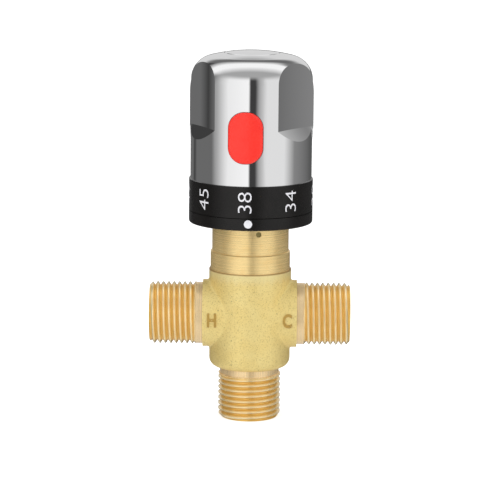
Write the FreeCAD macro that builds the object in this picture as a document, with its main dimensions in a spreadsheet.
import FreeCAD, Part
import os
import re
import Sketcher

# Thermostatic mixing valve with three threaded ports.
# Frame: the origin is the centre of the outlet's end face, +Z runs up the knob's axis,
# +X points to the cold port and -Y is the front, where the button and the pointer dot are.
# The knob, the rings and the button are drawn facing -Y and then turned by head_angle.

# ---------------------------------------------------------------- driving sizes, millimetres
SIZES = {
    # ports: parallel pipe thread of half an inch, major diameter
    "thread_dia": 20.955,
    "thread_chamfer": 1.1,
    "port_rise": 17.9,           # bottom of the barrel to the side ports' axis
    "port_reach": 33.6,          # valve axis to the end of each side port
    "port_bore": 15.0,
    "port_floor": 14.6,          # valve axis to the bottom of each side bore
    "boss_dia": 22.6,
    "boss_reach": 15.75,
    "collar_dia": 20.6,
    "collar_long": 2.3,
    "outlet_thread_long": 15.0,
    "outlet_collar_dia": 19.8,
    "outlet_collar_long": 2.4,
    # casting
    "barrel_rim": 4.05,          # barrel's top above the side bosses
    "barrel_low_dia": 27.1,
    "barrel_round": 2.9,
    "barrel_top_dia": 27.5,
    "crotch_round": 0.8,
    "chamber_dia": 21.8,
    "chamber_drop": 13.5,        # port axis to the chamber's floor
    "inlet_dia": 5.6,
    "inlet_rise": 4.0,           # hot inlet above the port axis, cold inlet as far below
    # bonnet, the turned brass neck
    "neck_low_dia": 26.6,
    "neck_low_long": 6.2,
    "neck_dia": 25.6,
    "neck_long": 9.75,
    "neck_chamfer": 0.4,
    "ring_seat_dia": 23.8,
    "ring_seat_long": 11.0,
    "spigot_long": 5.35,
    "spigot_gap": 0.05,
    "nut_flats": 12.8,
    "nut_gap": 0.15,             # each side of the nut in its hexagon hole
    "bonnet_roof": 13.0,         # nut's hole to the bonnet's top
    "lock_dia": 1.85,
    "lock_drop": 2.5,
    "lock_angle": 12.8,
    "lock_long": 3.0,
    "lock_inset": 0.4,
    # rubber rings
    "chamber_cord": 1.4,
    "spindle_cord": 1.2,
    "cord_gap": 0.04,
    "seal_rise": 2.5,            # spigot's end to its ring
    "spindle_seal_drop": 7.0,    # bonnet's top to the spindle's ring
    # pointer ring and stop ring
    "ring_proud": 0.45,          # both black rings past the knob
    "ring_web": 1.8,
    "pointer_long": 4.0,
    "ring_wall": 2.1,
    "ring_round": 0.6,
    "pointer_gap": 0.05,
    "dot_dia": 2.7,
    "dot_drop": 1.65,             # below the pointer ring's top
    "dot_deep": 0.8,
    "dot_angle": 1.9,            # clockwise from the front, seen from above
    "dot_proud": 0.05,
    "stop_dia": 29.2,
    "stop_long": 3.7,
    "stop_lug_wide": 3.0,
    "stop_lug_proud": 0.6,       # past the button's plate
    "stop_lug_gap": 0.6,
    "stop_lug_angle": 16.0,
    "clip_thick": 0.9,
    "clip_deep": 0.6,
    "clip_dia": 27.0,
    "clip_mouth": 7.0,
    "clip_gap": 0.05,
    # cartridge
    "sleeve_gap": 0.15,
    "sleeve_bore": 16.0,
    "sleeve_floor": 2.0,
    "sleeve_head_gap": 0.2,
    "sleeve_hole": 9.2,
    "window_dia": 4.0,
    "window_groove": 1.1,
    "window_margin": 0.2,
    "sleeve_seal_inset": 2.2,
    # regulator: nut, wax element and shuttle
    "lead": 8.0,                 # slide for one whole turn of the knob
    "cold_turn": 135.0,          # knob's turn from the marked setting to each end
    "hot_turn": 80.0,
    "nut_rise": 1.1,             # spigot's end to the nut at the marked setting
    "nut_head_gap": 0.8,         # left above and below the nut at the cold end
    "nut_end_gap": 0.4,
    "nut_floor": 1.3,
    "wax_dia": 8.0,
    "wax_long": 17.0,
    "wax_collar_dia": 10.4,
    "wax_collar_long": 1.5,
    "piston_dia": 3.0,
    "piston_long": 2.6,
    "shuttle_land": 0.3,         # the shuttle's overlap past a closed row of windows
    "shuttle_gap": 0.08,
    "shuttle_wall": 1.6,
    "shuttle_hub_dia": 11.4,
    "shuttle_spoke": 2.0,
    "shuttle_hub_rise": 1.4,
    "shuttle_hub_long": 2.0,
    "return_wire": 1.0,
    "return_coil_dia": 10.6,
    "return_turns": 4.0,
    # strainers
    "strainer_long": 4.0,
    "strainer_wall": 0.6,
    "strainer_gap": 0.05,
    "strainer_hole": 1.7,
    "strainer_pitch": 2.5,
    "strainer_rim": 1.9,
    # spindle
    "spindle_dia": 8.0,
    "spindle_gap": 0.08,
    "screw_dia": 7.0,
    "flange_dia": 11.6,
    "flange_long": 1.6,
    "flange_gap": 0.2,
    "spindle_clip_dia": 12.4,
    "spindle_clip_thick": 0.8,
    "spindle_clip_deep": 0.5,
    "spindle_clip_rise": 0.3,
    # temperature ring
    "dial_gap": 0.2,
    "dial_long": 10.45,
    "dial_wall": 3.45,
    "dial_spigot": 3.1,
    # knob
    "head_angle": 5.0,           # clockwise from the front, seen from above
    "knob_dia": 40.4,
    "knob_tall": 42.55,
    "knob_wall": 2.0,
    "head_deep": 18.0,           # knob's top to the spindle's end
    "shoulder_round": 8.0,
    "shoulder_drop": 9.5,
    "grip_round": 72.0,
    "grip_deep": 3.05,
    "grip_rise": 17.85,
    "grip_angle": 59.3,          # from the button, and from the point opposite it
    "grip_ramp_rise": 7.0,
    "grip_ramp_run": 5.5,
    "fin_proud": 0.4,
    "fin_angle": 8.0,
    "fin_ramp": 5.0,
    "fin_drop": 4.5,             # shoulder's height to where the fin starts to curve in
    "fin_meet_angle": 40.0,
    "hub_dia": 16.0,
    "hub_long": 20.0,
    "hub_floor": 3.5,
    "hub_well_dia": 12.6,
    "insert_dia": 12.0,
    "insert_long": 18.0,
    "insert_gap": 0.02,
    "hub_head_dia": 21.2,
    "hub_head_long": 6.0,
    "cap_dia": 18.3,
    "cap_thick": 4.0,
    "cap_gap": 0.06,
    "cap_chamfer": 0.35,
    "fixing_dia": 4.0,
    "fixing_long": 17.0,
    "fixing_tip_gap": 1.0,
    "fixing_head_dia": 7.6,
    "fixing_head_long": 2.6,
    "fixing_hole_gap": 0.2,
    "washer_dia": 10.0,
    "washer_thick": 0.8,
    # release button
    "button_wide": 11.4,
    "button_tall": 16.9,
    "button_corner": 5.3,
    "button_rise": 15.95,         # knob's lower edge to the button's middle
    "button_proud": 1.2,
    "button_edge": 0.8,
    "button_gap": 0.15,
    "button_travel": 1.5,
    "plate_inset": 4.0,          # knob's surface to the front of the button's retaining plate
    "plate_thick": 1.2,
    "plate_margin": 1.4,
    "stem_dia": 4.6,
    "stem_clear": 0.9,           # left between the stem and its pad when pressed
    "leg_wide": 4.0,
    "leg_drop": 1.1,             # leg's end below the knob's lower edge
    "pad_dia": 8.4,
    "spring_room": 7.2,          # pad to the front of the retaining plate
    "button_wire": 0.7,
    "button_coil_dia": 6.4,
    "button_turns": 4.0,
    "spring_end_gap": 0.05,
}

# heights above the outlet's end face, and sizes across, that follow from the driving sizes
FOLLOWING = {
    "barrel_low": "outlet_thread_long + outlet_collar_long",
    "port_height": "barrel_low + port_rise",
    "barrel_top": "port_height + boss_dia / 2 + barrel_rim",
    "chamber_floor": "port_height - chamber_drop",
    "neck_step": "barrel_top + neck_low_long",
    "neck_top": "neck_step + neck_long",
    "bonnet_top": "neck_top + ring_seat_long",
    "spigot_low": "barrel_top - spigot_long",
    "nut_roof": "bonnet_top - bonnet_roof",
    "lock_height": "neck_top - lock_drop",
    "seal_height": "spigot_low + seal_rise",
    "spindle_seal_height": "bonnet_top - spindle_seal_drop",
    "nut_low": "spigot_low + nut_rise",
    "pointer_top": "neck_top + pointer_long",
    "dial_low": "pointer_top + dial_gap",
    "dial_top": "dial_low + dial_long",
    "knob_top": "dial_top + knob_tall",
    "shoulder_height": "knob_top - shoulder_drop",
    "grip_low": "dial_top + grip_rise",
    "fin_low": "grip_low - fin_ramp",
    "fin_curve": "shoulder_height - fin_drop",
    "spindle_top": "knob_top - head_deep",
    "hub_low": "spindle_top - hub_long",
    "insert_low": "spindle_top - insert_long",
    "hub_head_low": "knob_top - hub_head_long",
    "button_height": "dial_top + button_rise",
    "leg_low": "dial_top - leg_drop",
    "ring_dia": "knob_dia + 2 * ring_proud",
    "dial_bore": "ring_dia - 2 * dial_wall",
    "fin_dia": "knob_dia + 2 * fin_proud",
    "grip_floor": "knob_dia / 2 - grip_deep",
    "plate_front": "knob_dia / 2 - plate_inset",
    "pad_front": "plate_front - spring_room",
    "stop_lug_reach": "plate_front + stop_lug_proud",
}

doc = FreeCAD.newDocument("mixing_valve")
sheet = doc.addObject("Spreadsheet::Sheet", "sheet")
cells = {**SIZES, **{alias: "=" + formula for alias, formula in FOLLOWING.items()}}
for row, (alias, content) in enumerate(cells.items(), start=1):
    sheet.set("A%d" % row, alias)
    sheet.setAlias("B%d" % row, alias)
    sheet.set("B%d" % row, str(content))
doc.recompute()

X_AXIS = FreeCAD.Vector(1, 0, 0)
Y_AXIS = FreeCAD.Vector(0, 1, 0)
Z_AXIS = FreeCAD.Vector(0, 0, 1)
PAST = "2"                       # how far a cutting tool runs past the face it cuts
OVERLAP = "0.5"                  # how far two joined solids run into each other

# heights that follow from the sizes
UPWARD = "(lead * cold_turn / 360)"
DOWNWARD = "(lead * hot_turn / 360)"
CLIP_LOW = "(neck_top + ring_web + stop_long)"
SLEEVE_TOP = "(spigot_low - sleeve_head_gap)"
FLANGE_LOW = "(nut_roof - flange_gap - flange_long)"
NUT_TOP = "(%s - %s - nut_head_gap)" % (FLANGE_LOW, UPWARD)
SPINDLE_LOW = "(nut_low + nut_floor + %s + nut_end_gap)" % UPWARD
SHUTTLE_LOW = "(port_height - inlet_rise - window_dia / 2 + %s - shuttle_land)" % DOWNWARD
SHUTTLE_TOP = "(port_height + inlet_rise + window_dia / 2 - %s + shuttle_land)" % UPWARD
SHUTTLE_HUB = "(%s + shuttle_hub_rise)" % SHUTTLE_LOW
WAX_TOP = "(nut_low - piston_long)"
HEAD_LOW = "(spindle_top + hub_floor + washer_thick)"
PLATE_BACK = "(plate_front - plate_thick)"

# radius of the shallow dome that ends in the knob's shoulder
DOME_RISE = "(knob_top - shoulder_height - shoulder_round)"
DOME_REACH = "(knob_dia / 2 - shoulder_round)"
DOME = "((%s ^ 2 + %s ^ 2) / (2 * %s) + shoulder_round)" % (DOME_REACH, DOME_RISE, DOME_RISE)

nodes = {}


# ---------------------------------------------------------------- helpers
def bound(text):
    """An expression over the sheet's aliases, as another object needs it."""
    return re.sub(r"[a-z][a-z_]+", lambda word: "sheet." + word[0] if word[0] in cells else word[0], text)


def value(text):
    """The same expression's value now."""
    return float(sheet.evalExpression(text))


def half(name):
    return "(%s / 2)" % name


def keep(node, shape_object):
    """Names the finished sub-part."""
    shape_object.Label = node
    nodes[node] = shape_object
    return shape_object


def turn_head(shape_object, angle="head_angle"):
    """Turns a sub-part that was drawn facing the front clockwise about the knob's axis."""
    turned_by = FreeCAD.Placement(FreeCAD.Vector(), FreeCAD.Rotation(Z_AXIS, -value(angle)))
    shape_object.Placement = turned_by.multiply(shape_object.Placement)
    return shape_object


def place(shape_object, at, axis=Z_AXIS):
    """Points a shape's own +Z along axis and binds its base point."""
    shape_object.Placement = FreeCAD.Placement(FreeCAD.Vector(), FreeCAD.Rotation(Z_AXIS, axis))
    for letter, text in zip("xyz", at):
        shape_object.setExpression("Placement.Base." + letter, bound(text))
    return shape_object


def cylinder(name, radius, height, at=("0", "0", "0"), axis=Z_AXIS):
    made = doc.addObject("Part::Cylinder", name)
    made.setExpression("Radius", bound(radius))
    made.setExpression("Height", bound(height))
    return place(made, at, axis)


def box(name, sizes, at):
    """A box from its three sizes and its low corner."""
    made = doc.addObject("Part::Box", name)
    for side, text in zip(("Length", "Width", "Height"), sizes):
        made.setExpression(side, bound(text))
    return place(made, at)


def torus(name, ring_radius, cord, at, axis=Z_AXIS):
    made = doc.addObject("Part::Torus", name)
    made.setExpression("Radius1", bound(ring_radius))
    made.setExpression("Radius2", bound(half(cord)))
    return place(made, at, axis)


def cut(name, base, *tools):
    made = doc.addObject("Part::Cut", name)
    made.Base = base
    made.Tool = tools[0] if len(tools) == 1 else fuse(name + "_tools", *tools)
    return made


def fuse(name, *shapes):
    made = doc.addObject("Part::MultiFuse", name)
    made.Shapes = list(shapes)
    return made


def common(name, *shapes):
    made = doc.addObject("Part::MultiCommon", name)
    made.Shapes = list(shapes)
    return made


def body(name):
    return doc.addObject("PartDesign::Body", name)


def sketch(owner, name, plane, offset=None):
    """A sketch on one of its own body's origin planes, moved along the plane's normal."""
    made = owner.newObject("Sketcher::SketchObject", name)
    support = [flat for flat in owner.Origin.OriginFeatures if flat.Role == plane][0]
    made.AttachmentSupport = [(support, "")]
    made.MapMode = "FlatFace"
    if offset:
        made.setExpression("AttachmentOffset.Base.z", bound(offset))
    return made


def pin_point(drawn, geometry, end, across, up):
    """Fixes one point of a sketch at bound distances from the sketch's origin."""
    for kind, text, axis_line in (("DistanceX", across, -2), ("DistanceY", up, -1)):
        if text == "0":
            drawn.addConstraint(Sketcher.Constraint("PointOnObject", geometry, end, axis_line))
        else:
            index = drawn.addConstraint(Sketcher.Constraint(kind, -1, 1, geometry, end, value(text)))
            drawn.setExpression("Constraints[%d]" % index, bound(text))


def closed_outline(drawn, corners):
    """Draws a closed outline. A corner is (across, up), or (across, up, radius, side) where
    the edge that leaves it is an arc that bulges to its right (1) or its left (-1)."""
    spots = [FreeCAD.Vector(value(corner[0]), value(corner[1]), 0) for corner in corners]
    starts = []
    ends = []
    for index, corner in enumerate(corners):
        start = spots[index]
        end = spots[(index + 1) % len(spots)]
        if len(corner) == 2:
            edge = drawn.addGeometry(Part.LineSegment(start, end))
        else:
            chord = end - start
            radius = value(corner[2])
            rise = radius - (radius ** 2 - chord.Length ** 2 / 4) ** 0.5
            outwards = FreeCAD.Vector(chord.y, -chord.x, 0).normalize() * corner[3]
            edge = drawn.addGeometry(Part.Arc(start, (start + end) * 0.5 + outwards * rise, end))
            drawn.setExpression(
                "Constraints[%d]" % drawn.addConstraint(Sketcher.Constraint("Radius", edge, radius)),
                bound(corner[2]),
            )
        forwards = drawn.getPoint(edge, 1).distanceToPoint(start) < 1e-6
        starts.append((edge, 1 if forwards else 2))
        ends.append((edge, 2 if forwards else 1))
    for index, corner in enumerate(corners):
        drawn.addConstraint(Sketcher.Constraint("Coincident", *ends[index - 1], *starts[index]))
        pin_point(drawn, *starts[index], corner[0], corner[1])


def drawn_circle(drawn, across, up, radius):
    centre = FreeCAD.Vector(value(across), value(up), 0)
    edge = drawn.addGeometry(Part.Circle(centre, Z_AXIS, value(radius)))
    index = drawn.addConstraint(Sketcher.Constraint("Radius", edge, value(radius)))
    drawn.setExpression("Constraints[%d]" % index, bound(radius))
    pin_point(drawn, edge, 3, across, up)


def revolve(owner, name, corners, kind="PartDesign::Revolution", angle=None):
    """Turns an outline of (radius, height) corners about +Z."""
    drawn = sketch(owner, name + "_outline", "XZ_Plane")
    closed_outline(drawn, corners)
    made = owner.newObject(kind, name)
    made.Profile = drawn
    made.ReferenceAxis = (drawn, ["V_Axis"])
    made.Angle = 360
    if angle:
        made.Midplane = True
        made.setExpression("Angle", bound(angle))
    doc.recompute()
    return made


def turned(name, corners):
    """A body that is one turned piece."""
    owner = body(name)
    revolve(owner, name + "_turn", corners)
    return owner


def pad(owner, name, drawn, length, midplane=False, reverse=False, kind="PartDesign::Pad"):
    made = owner.newObject(kind, name)
    made.Profile = drawn
    made.setExpression("Length", bound(length))
    made.Midplane = midplane
    made.Reversed = reverse
    doc.recompute()
    return made


def dress(owner, name, kind, amount, wanted):
    """Rounds or chamfers the edges of the body's tip that wanted() picks."""
    tip = owner.Tip
    names = ["Edge%d" % number for number, edge in enumerate(tip.Shape.Edges, start=1) if wanted(edge)]
    made = owner.newObject(kind, name)
    made.Base = (tip, names)
    made.setExpression("Radius" if kind.endswith("Fillet") else "Size", bound(amount))
    doc.recompute()
    return made


def hexagon(flats):
    """Corners of a hexagon about the origin from its size across flats."""
    corner = "(%s) / sqrt(3)" % flats
    flat = "(%s) / 2" % flats
    return [
        (corner, "0"),
        (corner + " / 2", flat),
        ("-" + corner + " / 2", flat),
        ("-" + corner, "0"),
        ("-" + corner + " / 2", "-" + flat),
        (corner + " / 2", "-" + flat),
    ]


def coil(name, coil_dia, wire, height, turns, at, axis=Z_AXIS):
    """A wire spring that starts at a base point; height is between wire centres."""
    owner = body(name)
    section = sketch(owner, name + "_section", "XZ_Plane")
    drawn_circle(section, half(coil_dia), "0", half(wire))
    made = owner.newObject("PartDesign::AdditiveHelix", name + "_helix")
    made.Profile = section
    made.ReferenceAxis = (section, ["V_Axis"])
    made.Mode = "pitch-height-angle"
    made.setExpression("Pitch", bound("(%s) / %s" % (height, turns)))
    made.setExpression("Height", bound(height))
    doc.recompute()
    return place(owner, at, axis)


# ---------------------------------------------------------------- cast body
def on_circle(edge, radius, tolerance=1e-4):
    return edge.Curve.TypeId == "Part::GeomCircle" and abs(edge.Curve.Radius - radius) < tolerance


def make_valve_body():
    owner = body("valve_body")
    thread = half("thread_dia")
    revolve(owner, "barrel", [
        ("0", "0"),
        (thread + " - thread_chamfer", "0"),
        (thread, "thread_chamfer"),
        (thread, "outlet_thread_long"),
        (half("outlet_collar_dia"), "outlet_thread_long"),
        (half("outlet_collar_dia"), "barrel_low"),
        ("barrel_low_dia / 2 - barrel_round", "barrel_low", "barrel_round", 1),
        (half("barrel_low_dia"), "barrel_low + barrel_round"),
        (half("barrel_top_dia"), "barrel_top"),
        ("0", "barrel_top"),
    ])
    for name, radius, length in (("boss", half("boss_dia"), "2 * boss_reach"),
                                 ("collar", half("collar_dia"), "2 * (boss_reach + collar_long)")):
        drawn = sketch(owner, name + "_round", "YZ_Plane")
        drawn_circle(drawn, "0", "port_height", radius)
        pad(owner, name, drawn, length, midplane=True)
    for sign, side in ((1, "cold"), (-1, "hot")):
        drawn = sketch(owner, side + "_thread_round", "YZ_Plane", "%d * (boss_reach + collar_long)" % sign)
        drawn_circle(drawn, "0", "port_height", thread)
        pad(owner, side + "_thread", drawn, "port_reach - boss_reach - collar_long", reverse=sign < 0)
    reach = value("port_reach")
    dress(owner, "port_chamfers", "PartDesign::Chamfer", "thread_chamfer",
          lambda edge: on_circle(edge, value(thread)) and abs(abs(edge.Curve.Center.x) - reach) < 1e-4)
    dress(owner, "crotch", "PartDesign::Fillet", "crotch_round",
          lambda edge: edge.Curve.TypeId == "Part::GeomBSplineCurve")
    revolve(owner, "chamber", [
        ("0", "-" + PAST),
        (half("port_bore"), "-" + PAST),
        (half("port_bore"), "chamber_floor"),
        (half("chamber_dia"), "chamber_floor"),
        (half("chamber_dia"), "barrel_top + " + PAST),
        ("0", "barrel_top + " + PAST),
    ], kind="PartDesign::Groove")
    for sign, side in ((1, "cold"), (-1, "hot")):
        drawn = sketch(owner, side + "_bore_round", "YZ_Plane", "%d * port_floor" % sign)
        drawn_circle(drawn, "0", "port_height", half("port_bore"))
        pad(owner, side + "_bore", drawn, "port_reach", reverse=sign > 0, kind="PartDesign::Pocket")
        drawn = sketch(owner, side + "_inlet_round", "YZ_Plane", "%d * port_floor" % sign)
        drawn_circle(drawn, "0", "port_height - %d * inlet_rise" % sign, half("inlet_dia"))
        pad(owner, side + "_inlet", drawn, "port_floor", reverse=sign < 0, kind="PartDesign::Pocket")
    return keep("valve_body", owner)


# ---------------------------------------------------------------- turned neck and what it carries
def make_bonnet():
    """The brass neck: a spigot in the chamber, a hexagon hole for the nut and a shaft bore."""
    spigot = "chamber_dia / 2 - spigot_gap"
    seal_floor = "chamber_dia / 2 - cord_gap - chamber_cord"
    seal_half = "0.6 * chamber_cord"
    clip_floor = "ring_seat_dia / 2 - clip_deep"
    clip_high = CLIP_LOW + " + clip_thick + 2 * clip_gap"
    owner = turned("bonnet", [
        ("spindle_dia / 2 + spindle_gap", "spigot_low"),
        (spigot, "spigot_low"),
        (spigot, "seal_height - " + seal_half),
        (seal_floor, "seal_height - " + seal_half),
        (seal_floor, "seal_height + " + seal_half),
        (spigot, "seal_height + " + seal_half),
        (spigot, "barrel_top"),
        (half("neck_low_dia"), "barrel_top"),
        (half("neck_low_dia"), "neck_step"),
        (half("neck_dia"), "neck_step"),
        (half("neck_dia"), "neck_top"),
        (half("ring_seat_dia"), "neck_top"),
        (half("ring_seat_dia"), CLIP_LOW),
        (clip_floor, CLIP_LOW),
        (clip_floor, clip_high),
        (half("ring_seat_dia"), clip_high),
        (half("ring_seat_dia"), "bonnet_top"),
        ("spindle_dia / 2 + spindle_gap", "bonnet_top"),
    ])
    drawn = sketch(owner, "nut_hole_hexagon", "XY_Plane", "spigot_low")
    closed_outline(drawn, hexagon("nut_flats + 2 * nut_gap"))
    pad(owner, "nut_hole", drawn, "nut_roof - spigot_low", reverse=True, kind="PartDesign::Pocket")
    top_edge = value("ring_seat_dia / 2")
    dress(owner, "bonnet_lead", "PartDesign::Chamfer", "neck_chamfer",
          lambda edge: on_circle(edge, top_edge) and abs(edge.Curve.Center.z - value("bonnet_top")) < 1e-4)
    step_edge = value("neck_low_dia / 2")
    dress(owner, "step_break", "PartDesign::Chamfer", "neck_chamfer / 2",
          lambda edge: on_circle(edge, step_edge) and abs(edge.Curve.Center.z - value("neck_step")) < 1e-4)
    return owner


def lock_at(distance):
    """A point at a distance from the axis, in the direction of the lock screw."""
    return ("(%s) * sin(lock_angle * 1 deg)" % distance,
            "-(%s) * cos(lock_angle * 1 deg)" % distance,
            "lock_height")


def make_lock_screw(bonnet):
    """A small grub screw in the neck; returns the bonnet with its hole."""
    towards = FreeCAD.Rotation(Z_AXIS, value("lock_angle")).multVec(-Y_AXIS)
    seat = "neck_dia / 2 - lock_inset - lock_long"
    deep = "lock_long + lock_inset + " + PAST
    hole = cylinder("lock_hole", half("lock_dia"), deep, lock_at(seat), towards)
    keep("lock_screw", cylinder("lock_screw_round", half("lock_dia"), "lock_long", lock_at(seat), towards))
    return keep("bonnet", cut("bonnet_drilled", bonnet, hole))


def make_seals():
    """Rubber rings: under the bonnet, three on the cartridge and one on the spindle."""
    ring = "chamber_dia / 2 - cord_gap - chamber_cord / 2"
    heights = {
        "bonnet_seal": "seal_height",
        "sleeve_seal_upper": SLEEVE_TOP + " - sleeve_seal_inset",
        "sleeve_seal_middle": "port_height",
        "sleeve_seal_lower": "chamber_floor + sleeve_seal_inset",
    }
    for node, height in heights.items():
        keep(node, torus(node + "_cord", ring, "chamber_cord", ("0", "0", height)))
    ring = "spindle_dia / 2 + spindle_gap - cord_gap - spindle_cord / 2"
    keep("spindle_seal", torus("spindle_seal_cord", ring, "spindle_cord", ("0", "0", "spindle_seal_height")))


def make_pointer_ring():
    """The fixed black ring and its white dot."""
    outer = half("ring_dia")
    inner = outer + " - ring_wall"
    bore = "ring_seat_dia / 2 + pointer_gap"
    owner = turned("pointer_ring", [
        (bore, "neck_top"),
        (outer + " - ring_round", "neck_top", "ring_round", 1),
        (outer, "neck_top + ring_round"),
        (outer, "pointer_top"),
        (inner, "pointer_top"),
        (inner, "neck_top + ring_web"),
        (bore, "neck_top + ring_web"),
    ])
    dot_at = ("0", "-(ring_dia / 2 - dot_deep)", "pointer_top - dot_drop")
    socket = cylinder("dot_socket", half("dot_dia"), "dot_deep + " + PAST, dot_at, -Y_AXIS)
    keep("pointer_ring", turn_head(cut("pointer_ring_drilled", owner, socket), "dot_angle"))
    peg = cylinder("dot_peg", half("dot_dia"), "dot_deep + " + PAST, dot_at, -Y_AXIS)
    face = cylinder("dot_face", outer + " + dot_proud", "ring_dia", ("0", "0", "neck_top"))
    keep("pointer_dot", turn_head(common("pointer_dot_disc", peg, face), "dot_angle"))


def make_stop_ring():
    """The ring whose lug stops the button's leg just past the marked setting."""
    bore = "ring_seat_dia / 2 + pointer_gap"
    low = "neck_top + ring_web"
    owner = turned("stop_ring", [
        (bore, low),
        (half("stop_dia"), low),
        (half("stop_dia"), low + " + stop_long"),
        (bore, low + " + stop_long"),
    ])
    inset = "(stop_dia / 2 - %s)" % OVERLAP
    tall = "leg_low - stop_lug_gap - (%s)" % low
    lug = box("stop_lug", ("stop_lug_wide", "stop_lug_reach - " + inset, tall),
              ("-stop_lug_wide / 2", inset, low))
    joined = fuse("stop_ring_and_lug", owner, lug)
    lug_turn = FreeCAD.Rotation(Z_AXIS, 180 + value("stop_lug_angle"))
    joined.Placement = FreeCAD.Placement(FreeCAD.Vector(), lug_turn)
    keep("stop_ring", turn_head(joined))


def make_retaining_clip():
    """The sprung clip in the bonnet's groove that holds both rings down."""
    low = CLIP_LOW + " + clip_gap"
    inner = "ring_seat_dia / 2 - clip_deep + clip_gap"
    owner = turned("retaining_clip", [
        (inner, low),
        (half("clip_dia"), low),
        (half("clip_dia"), low + " + clip_thick"),
        (inner, low + " + clip_thick"),
    ])
    mouth = box("clip_mouth", ("clip_mouth", "clip_dia", "clip_thick + 2 * " + PAST),
                ("-clip_mouth / 2", "0", "%s - %s" % (low, PAST)))
    keep("retaining_clip", cut("retaining_clip_open", owner, mouth))


# ---------------------------------------------------------------- cartridge inside the chamber
def make_cartridge_sleeve():
    """A tube with two rows of windows, grooves for its rings and a seat for the spring."""
    outer = "chamber_dia / 2 - sleeve_gap"
    seal_floor = "chamber_dia / 2 - cord_gap - chamber_cord"
    seal_half = "0.65 * chamber_cord"
    window_floor = outer + " - window_groove"
    window_half = "window_dia / 2 + window_margin"
    corners = [
        (half("sleeve_hole"), "chamber_floor"),
        (outer, "chamber_floor"),
    ]
    grooves = (
        ("chamber_floor + sleeve_seal_inset", seal_floor, seal_half),
        ("port_height - inlet_rise", window_floor, window_half),
        ("port_height", seal_floor, seal_half),
        ("port_height + inlet_rise", window_floor, window_half),
        (SLEEVE_TOP + " - sleeve_seal_inset", seal_floor, seal_half),
    )
    for middle, floor, reach in grooves:
        corners += [
            (outer, "%s - (%s)" % (middle, reach)),
            (floor, "%s - (%s)" % (middle, reach)),
            (floor, "%s + %s" % (middle, reach)),
            (outer, "%s + %s" % (middle, reach)),
        ]
    corners += [
        (outer, SLEEVE_TOP),
        (half("sleeve_bore"), SLEEVE_TOP),
        (half("sleeve_bore"), "chamber_floor + sleeve_floor"),
        (half("sleeve_hole"), "chamber_floor + sleeve_floor"),
    ]
    owner = turned("cartridge_sleeve", corners)
    windows = []
    for level, height in (("hot", "port_height + inlet_rise"), ("cold", "port_height - inlet_rise")):
        for step in range(3):
            angle = 60 * step
            across = FreeCAD.Rotation(Z_AXIS, angle).multVec(X_AXIS)
            start = ["-chamber_dia / 2 * %s(%d deg)" % (share, angle) for share in ("cos", "sin")]
            windows.append(cylinder("%s_window_%d" % (level, step), half("window_dia"),
                                    "chamber_dia", (*start, height), across))
    keep("cartridge_sleeve", cut("cartridge_sleeve_open", owner, *windows))


def make_strainer(side, sign):
    """A cup with a drilled end, seated on the floor of a side bore."""
    outer = "port_bore / 2 - strainer_gap"
    owner = turned(side + "_cup", [
        ("0", "strainer_long - strainer_wall"),
        (outer + " - strainer_wall", "strainer_long - strainer_wall"),
        (outer + " - strainer_wall", "0"),
        (outer, "0"),
        (outer, "strainer_long"),
        ("0", "strainer_long"),
    ])
    rim = value("port_bore / 2 - strainer_rim") / value("strainer_pitch")
    steps = range(-int(rim), int(rim) + 1)
    spots = [(across, up) for across in steps for up in steps if (across ** 2 + up ** 2) ** 0.5 <= rim]
    drilled = cut(side + "_strainer_drilled", owner, *[
        cylinder("%s_hole_%d" % (side, number), half("strainer_hole"), "strainer_long + " + PAST,
                 ("%d * strainer_pitch" % across, "%d * strainer_pitch" % up, "0"))
        for number, (across, up) in enumerate(spots)
    ])
    place(drilled, ("%d * port_floor" % sign, "0", "port_height"), X_AXIS * sign)
    keep(side + "_strainer", drilled)


# ---------------------------------------------------------------- regulator, slides as the knob turns
def make_drive_nut():
    owner = body("drive_nut")
    drawn = sketch(owner, "nut_hexagon", "XY_Plane", "nut_low")
    closed_outline(drawn, hexagon("nut_flats"))
    pad(owner, "nut_solid", drawn, NUT_TOP + " - nut_low")
    revolve(owner, "nut_thread", [
        ("0", "nut_low + nut_floor"),
        ("screw_dia / 2 + spindle_gap", "nut_low + nut_floor"),
        ("screw_dia / 2 + spindle_gap", "%s + %s" % (NUT_TOP, PAST)),
        ("0", "%s + %s" % (NUT_TOP, PAST)),
    ], kind="PartDesign::Groove")
    keep("drive_nut", owner)


def make_wax_element():
    """The wax capsule with its collar, and the piston that it pushes against the nut."""
    collar_low = SHUTTLE_HUB + " + shuttle_hub_long"
    keep("wax_element", turned("wax_element", [
        ("0", WAX_TOP + " - wax_long"),
        (half("wax_dia"), WAX_TOP + " - wax_long"),
        (half("wax_dia"), collar_low),
        (half("wax_collar_dia"), collar_low),
        (half("wax_collar_dia"), collar_low + " + wax_collar_long"),
        (half("wax_dia"), collar_low + " + wax_collar_long"),
        (half("wax_dia"), WAX_TOP),
        ("0", WAX_TOP),
    ]))
    keep("wax_piston", cylinder("wax_piston_rod", half("piston_dia"), "piston_long", ("0", "0", WAX_TOP)))


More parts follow.
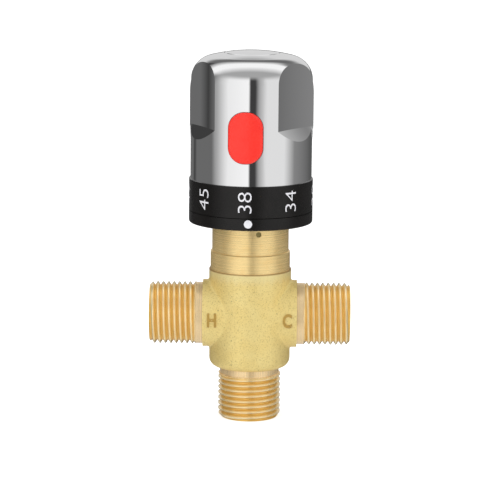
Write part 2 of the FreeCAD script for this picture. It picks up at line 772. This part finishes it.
def make_shuttle():
    """The tube that uncovers one row of windows as it covers the other."""
    outer = "sleeve_bore / 2 - shuttle_gap"
    inner = outer + " - shuttle_wall"
    hub_bore = "wax_dia / 2 + spindle_gap"
    wall = turned("shuttle_wall", [
        (inner, SHUTTLE_LOW),
        (outer, SHUTTLE_LOW),
        (outer, SHUTTLE_TOP),
        (inner, SHUTTLE_TOP),
    ])
    hub = turned("shuttle_hub", [
        (hub_bore, SHUTTLE_HUB),
        (half("shuttle_hub_dia"), SHUTTLE_HUB),
        (half("shuttle_hub_dia"), SHUTTLE_HUB + " + shuttle_hub_long"),
        (hub_bore, SHUTTLE_HUB + " + shuttle_hub_long"),
    ])
    reach = "(%s + %s)" % (inner, OVERLAP)
    spokes = [
        box("shuttle_spoke_x", ("2 * " + reach, "shuttle_spoke", "shuttle_hub_long"),
            ("-" + reach, "-shuttle_spoke / 2", SHUTTLE_HUB)),
        box("shuttle_spoke_y", ("shuttle_spoke", "2 * " + reach, "shuttle_hub_long"),
            ("-shuttle_spoke / 2", "-" + reach, SHUTTLE_HUB)),
    ]
    core = cylinder("shuttle_core", hub_bore, "shuttle_hub_long + 2 * " + PAST,
                    ("0", "0", "%s - %s" % (SHUTTLE_HUB, PAST)))
    keep("shuttle", cut("shuttle_bored", fuse("shuttle_solid", wall, hub, *spokes), core))


def make_return_spring():
    low = "chamber_floor + sleeve_floor + return_wire / 2 + spring_end_gap"
    high = SHUTTLE_HUB + " - return_wire / 2 - spring_end_gap"
    keep("return_spring", coil("return_spring", "return_coil_dia", "return_wire",
                               "%s - (%s)" % (high, low), "return_turns", ("0", "0", low)))


# ---------------------------------------------------------------- spindle
def make_spindle():
    shaft = half("spindle_dia")
    flange_top = FLANGE_LOW + " + flange_long"
    seal_floor = "spindle_dia / 2 + spindle_gap - cord_gap - spindle_cord"
    seal_half = "0.6 * spindle_cord"
    clip_low = "bonnet_top + spindle_clip_rise"
    clip_floor = "spindle_dia / 2 - spindle_clip_deep"
    hole = "fixing_dia / 2 + insert_gap"
    hole_floor = HEAD_LOW + " - fixing_long - fixing_tip_gap"
    keep("spindle", turned("spindle", [
        ("0", SPINDLE_LOW),
        (half("screw_dia"), SPINDLE_LOW),
        (half("screw_dia"), FLANGE_LOW),
        (half("flange_dia"), FLANGE_LOW),
        (half("flange_dia"), flange_top),
        (shaft, flange_top),
        (shaft, "spindle_seal_height - " + seal_half),
        (seal_floor, "spindle_seal_height - " + seal_half),
        (seal_floor, "spindle_seal_height + " + seal_half),
        (shaft, "spindle_seal_height + " + seal_half),
        (shaft, clip_low),
        (clip_floor, clip_low),
        (clip_floor, clip_low + " + spindle_clip_thick"),
        (shaft, clip_low + " + spindle_clip_thick"),
        (shaft, "spindle_top"),
        (hole, "spindle_top"),
        (hole, hole_floor),
        ("0", hole_floor),
    ]))
    keep("spindle_clip", turned("spindle_clip", [
        (clip_floor, clip_low),
        (half("spindle_clip_dia"), clip_low),
        (half("spindle_clip_dia"), clip_low + " + spindle_clip_thick"),
        (clip_floor, clip_low + " + spindle_clip_thick"),
    ]))


# ---------------------------------------------------------------- knob
def knob_outline(inset, low):
    """The turned outline of the knob, or of the same form drawn in by inset."""
    shoulder = "(shoulder_round - %s)" % inset
    top = "(knob_top - %s)" % inset
    dome = "(%s - %s)" % (DOME, inset)
    reach = "(%s - shoulder_round)" % DOME
    return [
        ("0", low),
        ("knob_dia / 2 - " + inset, low),
        ("knob_dia / 2 - " + inset, "shoulder_height", shoulder, 1),
        ("%s * %s / %s" % (DOME_REACH, dome, reach),
         "%s - %s + sqrt(%s ^ 2 - %s ^ 2) * %s / %s" % (top, dome, reach, DOME_REACH, dome, reach),
         dome, 1),
        ("0", top),
    ]


def grip_cutters(name, inset):
    """Four turned cutters, far out to the sides, that leave the knob's hollow grips."""
    inset = "(%s)" % inset
    radius = "(grip_round + %s)" % inset
    slope = "sqrt(grip_ramp_rise ^ 2 + grip_ramp_run ^ 2)"
    low = "(grip_low - %s * (%s - grip_ramp_rise) / grip_ramp_run)" % (inset, slope)
    made = []
    for number, centre in enumerate(("grip_angle", "-grip_angle", "180 - grip_angle", "180 + grip_angle")):
        cutter = turned("%s_%d" % (name, number), [
            ("0", low + " - grip_ramp_rise"),
            (radius + " - grip_ramp_run", low + " - grip_ramp_rise"),
            (radius, low),
            (radius, "knob_top + " + PAST),
            ("0", "knob_top + " + PAST),
        ])
        far = "(grip_floor + grip_round)"
        made.append(place(cutter, (
            "%s * sin((%s) * 1 deg)" % (far, centre),
            "-%s * cos((%s) * 1 deg)" % (far, centre),
            "0",
        )))
    return made


def make_fins():
    """The two narrow ridges at the sides, where the front and back grips meet."""
    end = (DOME_REACH + " + shoulder_round * cos(fin_meet_angle * 1 deg)",
           "shoulder_height + shoulder_round * sin(fin_meet_angle * 1 deg)")
    across = "(fin_dia / 2 - (%s))" % end[0]
    along = "(%s - fin_curve)" % end[1]
    inside = "(knob_dia / 2 - knob_wall)"
    made = []
    for number in range(2):
        owner = body("fin_%d" % number)
        revolve(owner, "fin_%d_turn" % number, [
            (inside, "fin_low"),
            ("knob_dia / 2", "fin_low"),
            ("fin_dia / 2", "grip_low"),
            ("fin_dia / 2", "fin_curve", "(%s ^ 2 + %s ^ 2) / (2 * %s)" % (across, along, across), 1),
            end,
            ("%s - %s" % (end[0], OVERLAP), "%s - %s" % (end[1], PAST)),
            (inside, "shoulder_height"),
        ], angle="fin_angle")
        owner.Placement = FreeCAD.Placement(FreeCAD.Vector(), FreeCAD.Rotation(Z_AXIS, 180 * number))
        made.append(owner)
    return made


def runs_back(edge):
    """Whether an edge is straight and runs from front to back."""
    return edge.Curve.TypeId == "Part::GeomLine" and edge.Curve.Direction.isParallel(Y_AXIS, 1e-3)


def rounded_plate(name, wide, tall, corner, back, front):
    """An upright plate with round corners, centred on the button's height."""
    owner = body(name)
    drawn = sketch(owner, name + "_face", "XZ_Plane", back)
    middle = "button_height"
    closed_outline(drawn, [
        ("-(%s) / 2" % wide, "%s - (%s) / 2" % (middle, tall)),
        ("(%s) / 2" % wide, "%s - (%s) / 2" % (middle, tall)),
        ("(%s) / 2" % wide, "%s + (%s) / 2" % (middle, tall)),
        ("-(%s) / 2" % wide, "%s + (%s) / 2" % (middle, tall)),
    ])
    pad(owner, name + "_solid", drawn, "%s - (%s)" % (front, back))
    dress(owner, name + "_corners", "PartDesign::Fillet", corner, runs_back)
    return owner


def make_knob_shell():
    """The hollow chromed knob with its grips, its button window and its hub."""
    form = fuse("knob_form", turned("knob_turned", knob_outline("0", "dial_top")), *make_fins())
    form = cut("knob_gripped", form, *grip_cutters("grip", "0"))
    hollow = turned("hollow_turned", knob_outline("knob_wall", "dial_top - " + PAST))
    hollow = cut("hollow_gripped", hollow, *grip_cutters("inner_grip", "knob_wall"))
    hub = fuse(
        "hub_solid",
        cylinder("hub_post", half("hub_dia"), "knob_top - hub_low", ("0", "0", "hub_low")),
        cylinder("hub_head", half("hub_head_dia"), "knob_top - hub_head_low", ("0", "0", "hub_head_low")),
        cylinder("spring_pad", half("pad_dia"), "pad_front", ("0", "0", "button_height"), -Y_AXIS),
    )
    shell = cut("knob_hollow", form, cut("knob_cavity", hollow, hub))
    cap_low = "knob_top - cap_thick"
    window = rounded_plate("button_window", "button_wide + 2 * button_gap", "button_tall + 2 * button_gap",
                           "button_corner + button_gap", "pad_front + " + OVERLAP, "knob_dia")
    shell = cut(
        "knob_bored", shell, window,
        cylinder("insert_hole", half("insert_dia") + " + insert_gap", "spindle_top - hub_low + " + PAST,
                 ("0", "0", "hub_low - " + PAST)),
        cylinder("fixing_hole", "fixing_dia / 2 + fixing_hole_gap", "hub_floor + 2 * " + OVERLAP,
                 ("0", "0", "spindle_top - " + OVERLAP)),
        cylinder("hub_well", half("hub_well_dia"), "knob_top - spindle_top - hub_floor",
                 ("0", "0", "spindle_top + hub_floor")),
        cylinder("cap_seat", half("cap_dia") + " + cap_gap", "cap_thick + " + PAST, ("0", "0", cap_low)),
    )
    keep("knob_shell", turn_head(shell))
    cap_rim = "(cap_dia / 2)"
    cap_edge = "(%s - cap_chamfer)" % cap_rim
    cap_high = "knob_top - %s + sqrt(%s ^ 2 - %s ^ 2)" % (DOME, DOME, cap_edge)
    keep("knob_cap", turn_head(turned("knob_cap", [
        ("0", cap_low),
        (cap_rim, cap_low),
        (cap_rim, cap_high + " - cap_chamfer"),
        (cap_edge, cap_high, DOME, 1),
        ("0", "knob_top"),
    ])))


def make_temperature_ring():
    outer = half("ring_dia")
    spigot = "knob_dia / 2 - knob_wall - cap_gap"
    keep("temperature_ring", turn_head(turned("temperature_ring", [
        (half("dial_bore"), "dial_low"),
        (outer, "dial_low"),
        (outer, "dial_top"),
        (spigot, "dial_top"),
        (spigot, "dial_top + dial_spigot"),
        (half("dial_bore"), "dial_top + dial_spigot"),
    ])))


def make_knob_fixing():
    """The splined insert, and the screw and washer that hold the knob on the spindle."""
    bore = "spindle_dia / 2 + insert_gap"
    keep("spline_insert", turned("spline_insert", [
        (bore, "insert_low"),
        (half("insert_dia"), "insert_low"),
        (half("insert_dia"), "spindle_top"),
        (bore, "spindle_top"),
    ]))
    washer_low = "spindle_top + hub_floor"
    keep("knob_washer", turned("knob_washer", [
        ("fixing_dia / 2 + fixing_hole_gap", washer_low),
        (half("washer_dia"), washer_low),
        (half("washer_dia"), HEAD_LOW),
        ("fixing_dia / 2 + fixing_hole_gap", HEAD_LOW),
    ]))
    owner = turned("knob_screw", [
        ("0", HEAD_LOW + " - fixing_long"),
        (half("fixing_dia"), HEAD_LOW + " - fixing_long"),
        (half("fixing_dia"), HEAD_LOW),
        (half("fixing_head_dia"), HEAD_LOW),
        (half("fixing_head_dia"), HEAD_LOW + " + fixing_head_long"),
        ("0", HEAD_LOW + " + fixing_head_long"),
    ])
    drawn = sketch(owner, "screw_socket_hexagon", "XY_Plane", HEAD_LOW + " + fixing_head_long")
    closed_outline(drawn, hexagon("fixing_head_dia / 2"))
    pad(owner, "screw_socket", drawn, "fixing_head_long / 2", kind="PartDesign::Pocket")
    keep("knob_screw", owner)


# ---------------------------------------------------------------- release button
def make_release_button():
    """The red button with its curved face, its plate behind the wall, a leg and a stem."""
    face = "knob_dia / 2 + button_proud"
    blank = rounded_plate("button_blank", "button_wide", "button_tall", "button_corner",
                          PLATE_BACK, "%s + %s" % (face, PAST))
    drum = cylinder("button_drum", face, "knob_top", ("0", "0", "0"))
    head = common("button_head", blank, drum)
    doc.recompute()
    rim = value(face)
    rounded = doc.addObject("Part::Fillet", "button_rounded")
    rounded.Base = head
    edge_round = value("button_edge")
    rounded.Edges = [
        (number, edge_round, edge_round)
        for number, edge in enumerate(head.Shape.Edges, start=1)
        if all(abs((spot.Point.x ** 2 + spot.Point.y ** 2) ** 0.5 - rim) < 1e-3 for spot in edge.Vertexes)
    ]
    plate_wide = "button_wide + 2 * plate_margin"
    plate_tall = "button_tall + 2 * plate_margin"
    plate = rounded_plate("button_plate", plate_wide, plate_tall, "plate_margin", PLATE_BACK, "plate_front")
    leg = box("button_leg", ("leg_wide", "plate_thick", "button_height - leg_low"),
              ("-leg_wide / 2", "-plate_front", "leg_low"))
    stem_end = "(pad_front + button_travel + stem_clear)"
    stem = cylinder("button_stem", half("stem_dia"), "%s - %s" % (PLATE_BACK, stem_end),
                    ("0", "-" + stem_end, "button_height"), -Y_AXIS)
    keep("release_button", turn_head(fuse("button_solid", rounded, plate, leg, stem)))
    low = "pad_front + button_wire / 2 + spring_end_gap"
    high = PLATE_BACK + " - button_wire / 2 - spring_end_gap"
    facing = FreeCAD.Rotation(Z_AXIS, -value("head_angle")).multVec(-Y_AXIS)
    start = ["-(%s) * %s(head_angle * 1 deg)" % (low, share) for share in ("sin", "cos")]
    keep("button_spring", coil("button_spring_coil", "button_coil_dia", "button_wire",
                               "%s - (%s)" % (high, low), "button_turns",
                               (*start, "button_height"), facing))


make_valve_body()
make_lock_screw(make_bonnet())
make_seals()
make_pointer_ring()
make_stop_ring()
make_retaining_clip()
make_cartridge_sleeve()
make_strainer("hot", -1)
make_strainer("cold", 1)
make_drive_nut()
make_wax_element()
make_shuttle()
make_return_spring()
make_spindle()
make_knob_shell()
make_temperature_ring()
make_knob_fixing()
make_release_button()
doc.recompute()

# ---------------------------------------------------------------- checks and export
for made in doc.Objects:
    if "Invalid" in made.State or "Error" in made.State:
        raise RuntimeError("%s failed: %s" % (made.Name, made.State))
os.makedirs("parts", exist_ok=True)
for node, made in nodes.items():
    solid = made.Shape
    if solid.isNull() or not solid.isValid() or not solid.Solids:
        raise RuntimeError("%s has no valid solid" % node)
    solid.exportStep("parts/%s.step" % node)
    room = solid.BoundBox
    print("%-20s %9.1f mm3  z %.2f to %.2f" % (node, solid.Volume, room.ZMin, room.ZMax))
